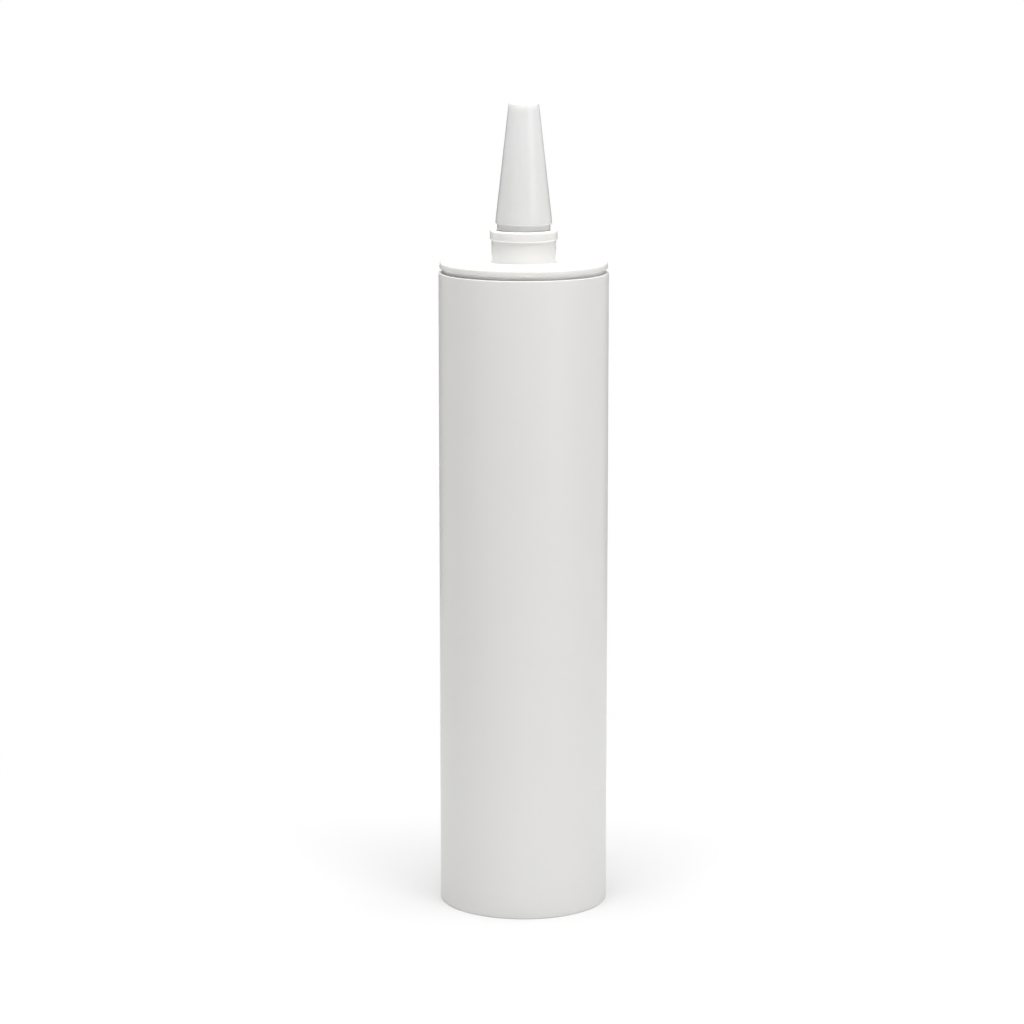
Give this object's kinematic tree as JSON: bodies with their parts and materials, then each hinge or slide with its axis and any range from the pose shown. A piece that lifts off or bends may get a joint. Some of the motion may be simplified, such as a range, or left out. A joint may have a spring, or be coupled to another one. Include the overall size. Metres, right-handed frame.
{
  "type": "caulk tube",
  "caption": "Round plastic cartridge for caulking guns: straight tube, welded head with a collar, screw-in cone nozzle, foil seal, push plunger and sealant fill.",
  "frame": {"origin": "centre of the tube's rear rim, on the surface that it stands on", "axes": "+Z along the tube's axis, from the rear rim to the nozzle's tip; the part is round about Z"},
  "size_m": [0.05, 0.05, 0.239],
  "materials": {
    "tube_plastic": "satin",
    "head_plastic": "satin",
    "nozzle_plastic": "gloss",
    "foil": "satin",
    "plunger_plastic": "satin",
    "sealant": "satin"
  },
  "bodies": {
    "cartridge": {"tube": "tube_plastic", "head": "head_plastic", "foil_seal": "foil", "sealant": "sealant"},
    "nozzle": {"nozzle": "nozzle_plastic"},
    "plunger": {"plunger": "plunger_plastic"}
  },
  "joints": [
    {"name": "plunger_travel", "type": "slide", "parent": "cartridge", "child": "plunger", "axis": [0, 0, 1], "range_m": [0, 0.1598], "deforming": ["sealant"]},
    {"name": "nozzle_lift", "type": "slide", "parent": "cartridge", "child": "nozzle", "axis": [0, 0, 1], "range_m": [0, 0.02]}
  ]
}
